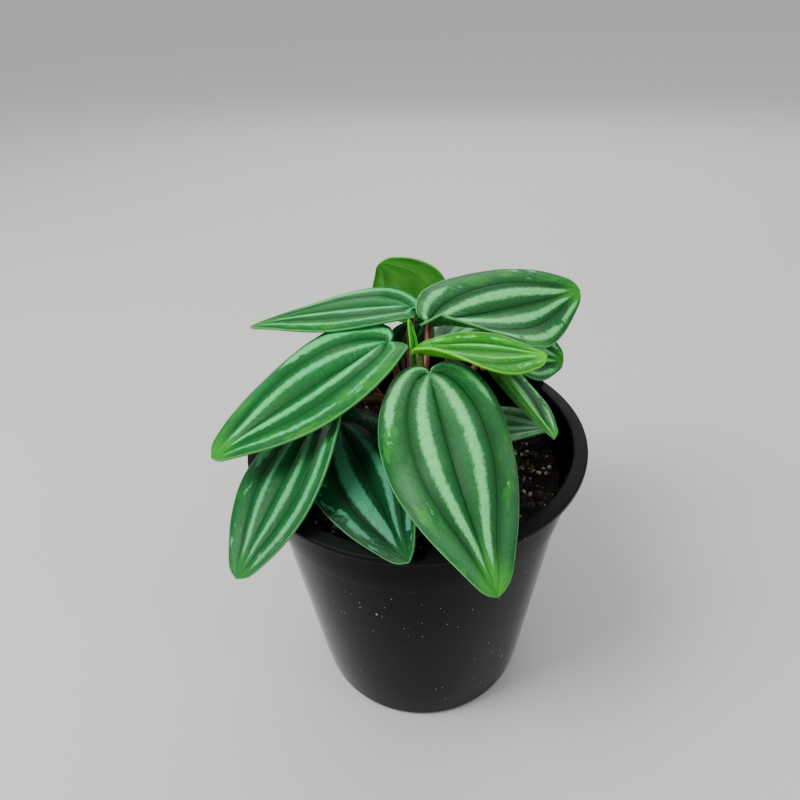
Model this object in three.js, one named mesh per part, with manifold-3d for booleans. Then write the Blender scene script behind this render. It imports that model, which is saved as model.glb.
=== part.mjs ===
// Potted peperomia with silver-striped leaves: a black nursery pot, its peat, a short crown and its leaves.
// Millimetres, +Z up. The origin is the middle of the pot's base, on the surface that it stands on.
import * as THREE from 'three';
import { mergeVertices } from 'three/addons/utils/BufferGeometryUtils.js';
import Module from 'manifold-3d';

const wasm = await Module();
wasm.setup();

// Pot: a ten-centimetre nursery pot
const POT_HEIGHT = 93;
const POT_WALL = 1.3;
const RIM_RADIUS = 50;
const RIM_WIDTH = 3.6;
const RIM_THICKNESS = 2;
const RIM_CORNER = 0.4;
const COLLAR_HEIGHT = 15.5;
const COLLAR_TOP_RADIUS = 46.4;
const COLLAR_FOOT_RADIUS = 45.3;
const COLLAR_STEP = 0.9;
const BASE_RADIUS = 35.4;
const BASE_CORNER = 2.2;
const FOOT_WIDTH = 4.5;
const FOOT_RISE = 1.6;
const CENTRE_PAD_RADIUS = 10;
const FLOOR_THICKNESS = 1.5;
const DRAIN_HOLES = 6;
const DRAIN_HOLE_RADIUS = 3.6;
const DRAIN_RING_RADIUS = 20.5;
const DRAIN_SIDES = 16;
const POT_SIDES = 48;

// Peat: it fills the pot to a finger's width below the rim
const SOIL_LEVEL = 80;
const SOIL_LUMP = 1.5;
// Each of the peat's waves: its numbers along X and Y, in radians a millimetre, and its phase
const LUMP_WAVES = [[0.31, 0.12, 0.4], [-0.17, 0.36, 1.9], [0.52, -0.41, 3.1], [0.64, 0.55, 5.2]];
const LUMP_EDGE = 8;
const SOIL_GAP = 0.35;
const SOIL_SIDES = 44;
const SOIL_RINGS = 9;

// Crown: the short stem that the leaf stalks leave, with its root stock in the peat
const CROWN_TOP = 96;
const CROWN_RADIUS = 4.2;
const CROWN_NECK_RADIUS = 3.2;
const CROWN_SHOULDER = 90;
const ROOT_DEPTH = 12;
const ROOT_RADIUS = 5.4;
const ROOT_TAPER = 3;
const CROWN_SIDES = 20;
const SEAT_GAP = 0.3;
// How much wider than its clearance the seat is, because its faces are flat between their corners
const SEAT_FACET = 1.1;

// Leaves: every blade has this outline, as length and half-width fractions from its notch to its tip
const OUTLINE = [
  [0, 0], [-0.06, 0.1], [-0.085, 0.27], [-0.05, 0.52], [0.05, 0.76], [0.19, 0.94],
  [0.36, 1], [0.55, 0.92], [0.74, 0.67], [0.9, 0.36], [0.97, 0.19], [1, 0],
];
const BLADE_THICKNESS = 0.9;
const BLADE_STEPS = 13;
const BLADE_COLUMNS = [0, 0.26, 0.52, 0.78, 1];
const SMALL_LEAF = 15;
const SMALL_STEPS = 7;
const SMALL_COLUMNS = [0, 0.5, 1];
// The steps along a blade lie closer together near the notch, where the outline turns most
const STEP_SPREAD = 1.25;
// Veins are sunk at the midrib and at each of these fractions of the half-width, with ridges between them
const VEIN_SPACING = 0.52;
const RIDGE_HEIGHT = 0.5;

// Stalks: each leaves the crown, rises a little above the straight line, and laps under its midrib
const STALK_RADIUS = 1.15;
const STALK_STEPS = 9;
const STALK_SIDES = 8;
const STALK_LAP = 4;
const STALK_RISE = 0.12;
const STALK_TUCK = 0.8;
const STALK_BENDS = [0.35, 0.75];

const GREENS = { mature: 0x3f7f46, dark: 0x2c5a3a, young: 0x8fc23e, yellow: 0x7cab3c };

// Each leaf. base is the notch where the stalk joins the blade, and tip is its other end. The midrib rises over
// the straight line between them by its arch, and swings to the leaf's right by its bow, seen from notch to tip
// on the upper face. Roll lifts the right half, at the notch and at the tip, in degrees. A fold gives the slope
// of a half in degrees, at its midrib and at its margin. Where a fold has four values, the last two hold at the
// tip. foot is where the stalk leaves the crown: its direction in degrees, from +X towards +Y, and its height.
// A leaf may also have a peak, which is how far along the midrib bends most, an ease below 1, which makes its
// folds change early, a right and a left lobe as fractions of the usual one, a stalk that rises more, a thinner
// stalk or blade in millimetres, and a green of its own.
const LEAVES = {
  leaf_left: {
    base: [-7, 8, 119], tip: [-54, -23, 105], arch: 3, bow: -2, halfWidth: [20, 20],
    roll: [0, -5], rightFold: [20, -10, 20, -45], leftFold: [20, 10, 10, -35], foot: [150, 91],
    lobe: [1, 0.3],
  },
  leaf_front: {
    base: [4, -8, 118], tip: [15, -63, 95], arch: 8, bow: 3, halfWidth: [17, 20],
    roll: [-5, 10], rightFold: [15, -50], leftFold: [20, -60], foot: [-70, 91],
  },
  leaf_left_low: {
    base: [-26, -5, 107], tip: [-47, -46, 85], arch: 3, bow: -1, halfWidth: [15, 16],
    roll: [-35, 0], rightFold: [5, 0], leftFold: [5, 20, 5, 0], foot: [205, 93],
    rise: 0.35, green: 'dark',
  },
  leaf_front_low: {
    base: [-23, 1, 97], tip: [-4, -52, 95], arch: 1, bow: 0, halfWidth: [16, 16],
    roll: [0, -35], rightFold: [10, 15, 10, 30], leftFold: [10, -15, 20, 10], foot: [178, 84],
    green: 'dark',
  },
  leaf_back_left: {
    base: [0, 27, 120], tip: [-51, 30, 115], arch: 3, bow: -1, halfWidth: [16, 18],
    roll: [-5, -10], rightFold: [15, 0, 0, -10], leftFold: [5, 5, 10, -45], foot: [128, 89],
    peak: 0.3, lobe: [1, 0.2],
  },
  leaf_back_upright: {
    base: [2, 47, 106], tip: [-9, 46, 128], arch: 2, bow: 0, halfWidth: [15, 15],
    roll: [-70, -70], rightFold: [20, 0], leftFold: [20, 0], foot: [94, 81.5],
    lobe: [0.8, 0.8], green: 'yellow',
  },
  leaf_back_right: {
    base: [6, 22, 118], tip: [58, 46, 115], arch: 0, bow: 2, halfWidth: [19, 18],
    roll: [-10, -50], rightFold: [25, 100, 0, -20], leftFold: [45, 0, 10, -45], foot: [46, 91.5],
    ease: 0.5, lobe: [1, 0.8],
  },
  leaf_new: {
    base: [2, 1, 121], tip: [36, -4, 120], arch: 1, bow: 1, halfWidth: [16, 9],
    roll: [15, -10], rightFold: [-20, 115, 0, 0], leftFold: [0, 60, -10, 30], foot: [10, 95],
    ease: 0.5, lobe: [0.6, 0.5], green: 'young',
  },
  leaf_right_behind: {
    base: [16, 30, 102], tip: [53, 38, 92], arch: 2, bow: 0, halfWidth: [16, 16],
    roll: [10, -45], rightFold: [5, 30, 10, 10], leftFold: [20, 0], foot: [66, 86],
  },
  leaf_right_folded: {
    base: [21, 15, 108], tip: [36, -20, 104], arch: 1, bow: 2, halfWidth: [13, 13],
    roll: [30, 30], rightFold: [35, 45], leftFold: [30, -15], foot: [25, 87],
  },
  leaf_right_low: {
    base: [11, 0, 96], tip: [38, -10, 100], arch: 0, bow: 0, halfWidth: [11, 11],
    roll: [5, 5], rightFold: [10, -10], leftFold: [10, -10], foot: [-20, 85],
  },
  leaf_middle: {
    base: [-3, 20, 108], tip: [5, 38, 110], arch: 1, bow: 0, halfWidth: [8, 8],
    roll: [0, 0], rightFold: [15, 0], leftFold: [15, 0], foot: [94, 85],
    lobe: [0.5, 0.5], stalk: 0.8, green: 'dark',
  },
  sprout: {
    base: [0, 4, 116], tip: [-1, 6, 128], arch: 0, bow: 0, halfWidth: [1.8, 1.8],
    roll: [0, 0], rightFold: [35, 70], leftFold: [35, 70], foot: [240, 95],
    stalk: 0.6, thin: 0.6, green: 'young',
  },
  leaf_rear_left: {
    base: [-17, 22, 103], tip: [-41, 61, 78], arch: 6, bow: 0, halfWidth: [16, 16],
    roll: [0, 0], rightFold: [20, -15], leftFold: [20, -15], foot: [140, 83],
  },
  leaf_rear_right: {
    base: [14, 38, 99], tip: [34, 74, 82], arch: 6, bow: 0, halfWidth: [15, 16],
    roll: [0, 0], rightFold: [15, -15], leftFold: [0, -20], foot: [42, 82],
    green: 'dark',
  },
};

const radians = THREE.MathUtils.degToRad;
const mix = THREE.MathUtils.lerp;

// A closed geometry as a solid that can be joined and cut
function solidOf(geometry) {
  const bare = geometry.index ? geometry.toNonIndexed() : geometry.clone();
  bare.deleteAttribute('normal');
  bare.deleteAttribute('uv');
  const merged = mergeVertices(bare, 1e-4);
  const corners = Array.from(merged.index.array);
  const index = [];
  for (let i = 0; i < corners.length; i += 3) {
    const [a, b, c] = corners.slice(i, i + 3);
    if (a !== b && b !== c && a !== c) index.push(a, b, c);
  }
  return new wasm.Manifold(new wasm.Mesh({
    numProp: 3,
    vertProperties: new Float32Array(merged.attributes.position.array),
    triVerts: new Uint32Array(index),
  }));
}

function geometryOf(solid) {
  const mesh = solid.getMesh();
  const geometry = new THREE.BufferGeometry();
  geometry.setAttribute('position', new THREE.BufferAttribute(new Float32Array(mesh.vertProperties), 3));
  geometry.setIndex(new THREE.BufferAttribute(new Uint32Array(mesh.triVerts), 1));
  geometry.computeVertexNormals();
  return geometry;
}

function named(name, solid, color, roughness) {
  const material = new THREE.MeshStandardMaterial({ color, roughness, metalness: 0 });
  const mesh = new THREE.Mesh(geometryOf(solid), material);
  mesh.name = name;
  return mesh;
}

// A turned body about the Z axis, from a closed profile of [radius, height] points
function turned(profile, sides) {
  const points = profile.map(([radius, height]) => new THREE.Vector2(radius, height));
  return new THREE.LatheGeometry(points, sides).rotateX(Math.PI / 2);
}

// Radius of the pot's outer wall below the collar, and of its inside, at a height
const wallTopRadius = COLLAR_FOOT_RADIUS - COLLAR_STEP;
const collarFoot = POT_HEIGHT - COLLAR_HEIGHT - RIM_THICKNESS;
const wallRadius = (z) => mix(BASE_RADIUS, wallTopRadius, z / collarFoot);
const potInside = (z) => wallRadius(z) - POT_WALL;

function makePot() {
  const floorTop = FOOT_RISE + FLOOR_THICKNESS;
  const insideTop = COLLAR_TOP_RADIUS - POT_WALL;
  const flangeFoot = POT_HEIGHT - RIM_THICKNESS;
  const insideCollar = potInside(collarFoot);
  const outside = [
    [0, 0], [CENTRE_PAD_RADIUS, 0], [CENTRE_PAD_RADIUS + FOOT_RISE, FOOT_RISE],
    [BASE_RADIUS - BASE_CORNER - FOOT_WIDTH - FOOT_RISE, FOOT_RISE],
    [BASE_RADIUS - BASE_CORNER - FOOT_WIDTH, 0], [BASE_RADIUS - BASE_CORNER, 0],
    [BASE_RADIUS - BASE_CORNER / 3, BASE_CORNER / 3], [wallRadius(BASE_CORNER), BASE_CORNER],
    [wallTopRadius, collarFoot], [COLLAR_FOOT_RADIUS, collarFoot + COLLAR_STEP / 2],
    [COLLAR_TOP_RADIUS, flangeFoot], [RIM_RADIUS - RIM_CORNER, flangeFoot],
    [RIM_RADIUS, flangeFoot + RIM_CORNER], [RIM_RADIUS, POT_HEIGHT - RIM_CORNER],
    [RIM_RADIUS - RIM_CORNER, POT_HEIGHT], [RIM_RADIUS - RIM_WIDTH, POT_HEIGHT],
  ];
  const inside = [
    [insideTop, POT_HEIGHT - 2 * RIM_CORNER], [insideCollar, collarFoot - COLLAR_STEP / 2],
    [potInside(floorTop + BASE_CORNER), floorTop + BASE_CORNER],
    [potInside(floorTop) - BASE_CORNER, floorTop], [0, floorTop],
  ];
  let pot = solidOf(turned([...outside, ...inside], POT_SIDES));
  const drill = new THREE.CylinderGeometry(DRAIN_HOLE_RADIUS, DRAIN_HOLE_RADIUS, floorTop * 4, DRAIN_SIDES);
  drill.rotateX(Math.PI / 2);
  for (let i = 0; i < DRAIN_HOLES; i += 1) {
    const turn = (2 * Math.PI * i) / DRAIN_HOLES;
    const [x, y] = [DRAIN_RING_RADIUS * Math.cos(turn), DRAIN_RING_RADIUS * Math.sin(turn)];
    pot = pot.subtract(solidOf(drill.clone().translate(x, y, 0)));
  }
  return pot;
}

// Lumps of the peat's surface, lower towards the pot's wall
function lump(x, y, edge) {
  const sum = LUMP_WAVES.reduce((total, [kx, ky, phase]) => total + Math.sin(kx * x + ky * y + phase), 0);
  const fade = Math.min(1, (edge - Math.hypot(x, y)) / LUMP_EDGE);
  return (SOIL_LUMP * fade * sum) / LUMP_WAVES.length;
}

function makeSoil() {
  const floorTop = FOOT_RISE + FLOOR_THICKNESS + SOIL_GAP;
  const edge = potInside(SOIL_LEVEL) - SOIL_GAP;
  const profile = [
    [0, floorTop], [potInside(floorTop) - BASE_CORNER - SOIL_GAP, floorTop],
    [potInside(floorTop + BASE_CORNER) - 2 * SOIL_GAP, floorTop + BASE_CORNER],
    [potInside(collarFoot) - 2 * SOIL_GAP, collarFoot - COLLAR_STEP],
  ];
  for (let i = 0; i <= SOIL_RINGS; i += 1) profile.push([edge * (1 - i / SOIL_RINGS), SOIL_LEVEL]);
  const geometry = turned(profile, SOIL_SIDES);
  const place = geometry.attributes.position;
  for (let i = 0; i < place.count; i += 1) {
    const [x, y, z] = [place.getX(i), place.getY(i), place.getZ(i)];
    if (Math.abs(z - SOIL_LEVEL) < 0.01) place.setZ(i, z + lump(x, y, edge));
  }
  const holeRadius = ROOT_RADIUS + SEAT_GAP;
  const hole = new THREE.CylinderGeometry(holeRadius, holeRadius, SOIL_LEVEL, CROWN_SIDES);
  hole.rotateX(Math.PI / 2);
  hole.translate(0, 0, SOIL_LEVEL - ROOT_DEPTH - SEAT_GAP + SOIL_LEVEL / 2);
  return solidOf(geometry).subtract(solidOf(hole));
}

// The crown, grown by a clearance where the stalks are cut to sit on it
function makeCrown(clearance) {
  const foot = SOIL_LEVEL - ROOT_DEPTH;
  const side = [
    [ROOT_RADIUS, foot + ROOT_TAPER], [ROOT_RADIUS, SOIL_LEVEL + 1],
    [CROWN_RADIUS, SOIL_LEVEL + 1 + ROOT_TAPER], [CROWN_RADIUS, CROWN_SHOULDER],
    [CROWN_NECK_RADIUS, (CROWN_SHOULDER + CROWN_TOP) / 2],
  ];
  const profile = [
    [0, foot - clearance], [ROOT_RADIUS * 0.6 + clearance, foot - clearance],
    ...side.map(([radius, height]) => [radius + clearance * SEAT_FACET, height]),
    [CROWN_NECK_RADIUS / 2 + clearance, CROWN_TOP + clearance], [0, CROWN_TOP + clearance],
  ];
  return solidOf(turned(profile, CROWN_SIDES));
}

// The margin's curve, as fractions of the blade's length and half-width
const outline = new THREE.SplineCurve(OUTLINE.map(([x, y]) => new THREE.Vector2(x, y)));

// The midrib, a curve that one control point pulls away from the straight line between notch and tip
function midribOf(leaf) {
  const notch = new THREE.Vector3(...leaf.base);
  const tip = new THREE.Vector3(...leaf.tip);
  const chord = tip.clone().sub(notch);
  const right = new THREE.Vector3(chord.y, -chord.x, 0).normalize();
  const up = new THREE.Vector3().crossVectors(right, chord).normalize();
  const pull = notch.clone().addScaledVector(chord, leaf.peak ?? 0.5);
  pull.addScaledVector(up, 2 * leaf.arch).addScaledVector(right, 2 * leaf.bow);
  return new THREE.QuadraticBezierCurve3(notch, pull, tip);
}

// Place and axes on the midrib: along it, to the leaf's right, and out of its upper face. The midrib goes on
// straight beyond its two ends.
function midribFrame(leaf, midrib, s) {
  const inside = THREE.MathUtils.clamp(s, 0, 1);
  const along = midrib.getTangent(inside);
  const place = midrib.getPoint(inside).addScaledVector(along, (s - inside) * midrib.getLength());
  const right = new THREE.Vector3(along.y, -along.x, 0).normalize();
  const normal = new THREE.Vector3().crossVectors(right, along);
  const roll = radians(mix(leaf.roll[0], leaf.roll[1], inside));
  const side = right.clone().multiplyScalar(Math.cos(roll)).addScaledVector(normal, Math.sin(roll));
  const up = normal.multiplyScalar(Math.cos(roll)).addScaledVector(right, -Math.sin(roll));
  return { place, side, up };
}

// A point of the blade: u goes from notch to tip, v from -1 at the left margin to 1 at the right one, and
// lift is how far it lies above the blade's middle surface
function bladePoint(leaf, midrib, u, v, lift) {
  const across = Math.abs(v);
  const half = v < 0 ? 1 : 0;
  const hand = v < 0 ? -1 : 1;
  const edge = outline.getPoint(u);
  const lobe = leaf.lobe ? leaf.lobe[half] : 1;
  const reach = edge.x < 0 ? edge.x * lobe : edge.x;
  const x = mix(u ** STEP_SPREAD, reach, across);
  const out = across * edge.y * (1 - (1 - lobe) * (1 - u) ** 2);
  const width = out * leaf.halfWidth[half];
  const fold = v < 0 ? leaf.leftFold : leaf.rightFold;
  const [innerStart, outerStart, innerEnd = innerStart, outerEnd = outerStart] = fold;
  const folded = THREE.MathUtils.clamp(x, 0, 1) ** (leaf.ease ?? 1);
  const inner = radians(mix(innerStart, innerEnd, folded));
  const outer = radians(mix(outerStart, outerEnd, folded));
  const bend = (outer - inner) * out;
  const chord = Math.abs(bend) < 1e-6 ? width : (width * Math.sin(bend / 2)) / (bend / 2);
  const slope = inner + bend / 2;
  const { place, side, up } = midribFrame(leaf, midrib, x);
  const ridge = RIDGE_HEIGHT * Math.sin((Math.PI * across) / VEIN_SPACING) ** 2 * Math.sin(Math.PI * u);
  const turn = out === 0 ? 0 : inner + bend;
  const rise = lift + ridge;
  return place
    .addScaledVector(side, hand * (chord * Math.cos(slope) - rise * Math.sin(turn)))
    .addScaledVector(up, chord * Math.sin(slope) + rise * Math.cos(turn));
}

// The blade as a closed sheet. Both faces are split along the same diagonals.
function makeBlade(leaf, midrib) {
  const small = midrib.getLength() < SMALL_LEAF;
  const steps = small ? SMALL_STEPS : BLADE_STEPS;
  const rightHalf = small ? SMALL_COLUMNS : BLADE_COLUMNS;
  const leftHalf = rightHalf.slice(1).reverse().map((v) => -v);
  const columns = [...leftHalf, ...rightHalf];
  const positions = [];
  const half = (leaf.thin ?? BLADE_THICKNESS) / 2;
  for (const lift of [half, -half]) {
    for (let i = 0; i <= steps; i += 1) {
      for (const v of columns) positions.push(...bladePoint(leaf, midrib, i / steps, v, lift).toArray());
    }
  }
  const row = columns.length;
  const sheet = row * (steps + 1);
  const index = [];
  const quad = (a, b, c, d) => index.push(a, b, c, a, c, d);
  for (let i = 0; i < steps; i += 1) {
    for (let j = 0; j < row - 1; j += 1) {
      const a = i * row + j;
      const b = sheet + a;
      index.push(a, a + row + 1, a + row, a, a + 1, a + row + 1);
      index.push(b, b + row, b + row + 1, b, b + row + 1, b + 1);
    }
    const left = i * row;
    const right = left + row - 1;
    quad(left, left + row, sheet + left + row, sheet + left);
    quad(right, sheet + right, sheet + right + row, right + row);
  }
  const geometry = new THREE.BufferGeometry();
  geometry.setAttribute('position', new THREE.BufferAttribute(new Float32Array(positions), 3));
  geometry.setIndex(index);
  return solidOf(geometry);
}

function roundSection(radius, sides) {
  const corners = [];
  for (let i = 0; i < sides; i += 1) {
    const turn = (2 * Math.PI * i) / sides;
    corners.push(new THREE.Vector2(radius * Math.cos(turn), radius * Math.sin(turn)));
  }
  return new THREE.Shape(corners);
}

// The stalk rises from the crown, arches under the notch and laps a little way under the midrib
function makeStalk(leaf, midrib) {
  const direction = radians(leaf.foot[0]);
  const foot = new THREE.Vector3(Math.cos(direction), Math.sin(direction), 0);
  foot.multiplyScalar(CROWN_NECK_RADIUS / 2).setZ(leaf.foot[1]);
  const radius = leaf.stalk ?? STALK_RADIUS;
  const joint = midribFrame(leaf, midrib, 0);
  const lap = midribFrame(leaf, midrib, STALK_LAP / midrib.getLength());
  const notch = joint.place.addScaledVector(joint.up, -STALK_TUCK * radius);
  const end = lap.place.addScaledVector(lap.up, -STALK_TUCK * radius);
  const rise = notch.distanceTo(foot) * (leaf.rise ?? STALK_RISE);
  const leave = foot.clone().lerp(notch, STALK_BENDS[0]);
  const arrive = foot.clone().lerp(notch, STALK_BENDS[1]);
  leave.z += rise;
  arrive.z += rise / 2;
  const path = new THREE.CatmullRomCurve3([foot, leave, arrive, notch, end], false, 'centripetal');
  return solidOf(new THREE.ExtrudeGeometry(roundSection(radius, STALK_SIDES), {
    extrudePath: path, steps: STALK_STEPS, bevelEnabled: false,
  }));
}

function makeLeaf(leaf, crownSeat) {
  const midrib = midribOf(leaf);
  return makeBlade(leaf, midrib).add(makeStalk(leaf, midrib)).subtract(crownSeat);
}

const group = new THREE.Group();
group.add(named('pot', makePot(), 0x0b0b0c, 0.15));
group.add(named('soil', makeSoil(), 0x1c1712, 0.95));
group.add(named('crown', makeCrown(0), 0x6b4a2c, 0.6));
const crownSeat = makeCrown(SEAT_GAP);
for (const [name, leaf] of Object.entries(LEAVES)) {
  group.add(named(name, makeLeaf(leaf, crownSeat), GREENS[leaf.green ?? 'mature'], 0.45));
}

export default group;
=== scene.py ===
# %% [markdown]
# # A potted peperomia with silver-striped leaves
#
# The real object is a young plant in a ten-centimetre black nursery pot. Its leaves are thick and slightly
# succulent. Each one is a heart at its base and a point at its tip, with sunk veins that run from base to
# tip and silver stripes on the ridges between them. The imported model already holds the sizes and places.
# This script keeps them and gives each piece its fine form and its finish.

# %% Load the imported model
import math
import random

import bmesh
import bpy
from mathutils import Matrix, Vector, noise


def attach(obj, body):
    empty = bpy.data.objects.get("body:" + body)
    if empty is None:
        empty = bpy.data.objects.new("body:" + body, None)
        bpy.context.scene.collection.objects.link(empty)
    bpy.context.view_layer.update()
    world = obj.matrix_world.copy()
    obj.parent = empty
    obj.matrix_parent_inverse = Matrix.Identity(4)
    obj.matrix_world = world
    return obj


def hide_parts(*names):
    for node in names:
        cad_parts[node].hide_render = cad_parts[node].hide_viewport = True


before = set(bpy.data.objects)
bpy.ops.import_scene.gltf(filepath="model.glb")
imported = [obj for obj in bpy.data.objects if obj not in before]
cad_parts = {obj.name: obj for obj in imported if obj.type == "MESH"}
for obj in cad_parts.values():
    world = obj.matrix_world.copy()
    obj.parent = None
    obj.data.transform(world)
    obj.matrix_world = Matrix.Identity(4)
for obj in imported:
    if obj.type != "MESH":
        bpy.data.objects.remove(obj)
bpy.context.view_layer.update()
MM = 0.001
print("packed nodes:", len(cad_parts))

# %% [markdown]
# The camera is where the photograph was taken from: close to the plant, less than 20 cm away, and looking
# down on it. So near a camera makes the front leaves large and the pot's base small. Its place was worked
# out from the ellipse of the rim, and it is made first, because every later choice is judged through it.

# %% Camera
CAMERA_TARGET = Vector((-4.4, 0, 105)) * MM
CAMERA_DISTANCE = 188 * MM
CAMERA_PITCH = math.radians(34.7)
CAMERA_ROLL = math.radians(-2.56)
CAMERA_LENS = 29.25
CAMERA_SENSOR = 36
CAMERA_NEAREST = 10 * MM


def make_camera():
    back = Vector((0, -math.cos(CAMERA_PITCH), math.sin(CAMERA_PITCH)))
    level = Vector((1, 0, 0))
    above = Vector((0, math.sin(CAMERA_PITCH), math.cos(CAMERA_PITCH)))
    right = level * math.cos(CAMERA_ROLL) + above * math.sin(CAMERA_ROLL)
    up = above * math.cos(CAMERA_ROLL) - level * math.sin(CAMERA_ROLL)
    camera = bpy.data.objects.new("camera", bpy.data.cameras.new("camera"))
    camera.data.lens = CAMERA_LENS
    camera.data.sensor_width = CAMERA_SENSOR
    camera.data.clip_start = CAMERA_NEAREST
    turn = Matrix((right, up, back)).transposed().to_4x4()
    camera.matrix_world = Matrix.Translation(CAMERA_TARGET + back * CAMERA_DISTANCE) @ turn
    bpy.context.scene.collection.objects.link(camera)
    bpy.context.scene.camera = camera
    return camera


camera = make_camera()
print("camera at", [round(x, 3) for x in camera.matrix_world.translation])

# %% [markdown]
# A finish is a small network of nodes. One helper adds a node, sets it up and feeds its inputs, each with a
# number or with another node's output. Most steps are sums on numbers, so the others do that for a sum, a
# product, a difference, a soft step, a noise, a blend of two colours and a bump.

# %% Helpers for shader nodes
def feed(tree, node, values):
    for name, value in values.items():
        if isinstance(value, bpy.types.NodeSocket):
            tree.links.new(value, node.inputs[name])
        else:
            node.inputs[name].default_value = value


def outputs_of(tree, kind, values=None, **settings):
    node = tree.nodes.new(f"ShaderNode{kind}")
    for name, setting in settings.items():
        setattr(node, name, setting)
    feed(tree, node, values or {})
    return node.outputs


def calc(tree, operation, *values):
    return outputs_of(tree, "Math", dict(enumerate(values)), operation=operation)[0]


def times(tree, product, *factors):
    for factor in factors:
        product = calc(tree, "MULTIPLY", product, factor)
    return product


def less(tree, first, second):
    return calc(tree, "SUBTRACT", first, second)


def soft_step(tree, value, start, end):
    values = {"Value": value, "From Min": start, "From Max": end}
    return outputs_of(tree, "MapRange", values, interpolation_type="SMOOTHSTEP")["Result"]


def noise_of(tree, place, scale, detail=3.0, roughness=0.5):
    values = {"Vector": place, "Scale": scale, "Detail": detail, "Roughness": roughness}
    return outputs_of(tree, "TexNoise", values)["Fac"]


def blend(tree, share, first, second):
    return outputs_of(tree, "Mix", {"Factor": share, 6: first, 7: second}, data_type="RGBA")[2]


def stretched(tree, place, scale, shift=(0, 0, 0)):
    return outputs_of(tree, "Mapping", {"Vector": place, "Scale": scale, "Location": shift})["Vector"]


def parts_of(tree, place):
    return outputs_of(tree, "SeparateXYZ", {0: place})


def bump(tree, height, distance, strength):
    values = {"Height": height, "Distance": distance, "Strength": strength}
    return outputs_of(tree, "Bump", values)["Normal"]


def new_finish(name):
    material = bpy.data.materials.new(name)
    material.use_nodes = True
    tree = material.node_tree
    return material, tree, tree.nodes["Principled BSDF"]


def object_place(tree):
    return outputs_of(tree, "TexCoord")["Object"]


print("shader helpers are ready")

# %% [markdown]
# Each piece is first a bmesh, which is Blender's mesh for editing. When its shape is done, it becomes an
# object with its materials. The object stays at the origin, with its place in its mesh.

# %% Helper for finished pieces
def finished_object(name, shape, *materials):
    mesh = bpy.data.meshes.new(name)
    shape.to_mesh(mesh)
    shape.free()
    for material in materials:
        mesh.materials.append(material)
    made = bpy.data.objects.new(name, mesh)
    bpy.context.scene.collection.objects.link(made)
    return made


def smooth_faces(shape):
    for face in shape.faces:
        face.smooth = True


print("helpers for pieces are ready")

# %% [markdown]
# The floor is a wide pale disc. The light is soft: a pale sky that is brightest overhead, one large lamp
# above and to the left, as in the photograph, a weaker one at the right, and a low one behind that draws a
# line of light round the black rim. Tall lamps are used, because a glossy black pot shows almost nothing but
# the shapes of its lights. The sky is darker near the horizon for the same reason. The camera itself sees a
# plain pale backdrop.

# %% Floor and lights
FLOOR_RADIUS = 9.0
FLOOR_SIDES = 96
FLOOR_COLOUR = (0.6, 0.597, 0.585, 1)
BACKDROP = (0.46, 0.465, 0.47, 1)
SKY_LOW = (0.06, 0.063, 0.066, 1)
SKY_HIGH = (1.05, 1.06, 1.08, 1)
PLANT_MIDDLE = Vector((0, 0, 0.1))
# Each lamp: its place in metres, its width and height, its power in watts and its colour
LAMPS = {
    "key": ((-0.5, -0.2, 0.8), (0.35, 0.6), 8.6, (1, 0.98, 0.95)),
    "fill": ((0.8, -0.45, 0.45), (0.12, 0.7), 1.5, (0.93, 0.97, 1)),
    "rim": ((0.2, 0.8, 0.5), (0.9, 0.2), 2.6, (1, 1, 1)),
}


def make_floor():
    sheet = bmesh.new()
    bmesh.ops.create_circle(sheet, cap_ends=True, segments=FLOOR_SIDES, radius=FLOOR_RADIUS)
    material, tree, shader = new_finish("floor paper")
    feed(tree, shader, {"Base Color": FLOOR_COLOUR, "Roughness": 0.9, "Specular IOR Level": 0.1})
    return finished_object("floor", sheet, material)


def soft_light(name, place, size, watts, colour):
    lamp = bpy.data.lights.new(name, "AREA")
    lamp.shape = "RECTANGLE"
    lamp.size, lamp.size_y = size
    lamp.energy = watts
    lamp.color = colour
    holder = bpy.data.objects.new(name, lamp)
    turn = (PLANT_MIDDLE - Vector(place)).to_track_quat("-Z", "Y").to_matrix().to_4x4()
    holder.matrix_world = Matrix.Translation(place) @ turn
    bpy.context.scene.collection.objects.link(holder)


def make_sky():
    world = bpy.data.worlds.new("studio")
    bpy.context.scene.world = world
    world.use_nodes = True
    tree = world.node_tree
    ray = outputs_of(tree, "NewGeometry")["Position"]
    sky = blend(tree, soft_step(tree, parts_of(tree, ray)["Z"], 0.0, 1.0), SKY_LOW, SKY_HIGH)
    to_camera = outputs_of(tree, "LightPath")["Is Camera Ray"]
    feed(tree, tree.nodes["Background"], {"Color": blend(tree, to_camera, sky, BACKDROP)})


floor = make_floor()
for name, lamp in LAMPS.items():
    soft_light(name, *lamp)
make_sky()
print("floor, sky and lamps:", len(LAMPS))

# %% [markdown]
# An effect that several finishes share is a node group: a small network with named inputs and outputs. One
# helper makes an empty group, one joins its results to its outputs, and one places it in a finish with that
# finish's values.

# %% Helpers for node groups
def new_group(name, inputs, outputs, vectors=()):
    group = bpy.data.node_groups.new(name, "ShaderNodeTree")
    for way, sockets in (("INPUT", inputs), ("OUTPUT", outputs)):
        for socket in sockets:
            kind = "NodeSocketVector" if socket in vectors else "NodeSocketFloat"
            group.interface.new_socket(socket, in_out=way, socket_type=kind)
    return group


def give_out(group, results):
    feed(group, group.nodes.new("NodeGroupOutput"), results)


def use_group(tree, group, values):
    return outputs_of(tree, "Group", values, node_tree=group)


print("group helpers are ready")

# %% [markdown]
# Grit settles on everything near a pot: pale dust on the black plastic, and dry crumbs on the damp peat. It
# is one node group, so that each finish can place it at its own size and amount. A cell pattern gives the
# specks their round outlines, and each cell's own random value decides whether it holds a speck. A finish
# multiplies the mask by a noise, so that the specks gather in places.

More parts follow.
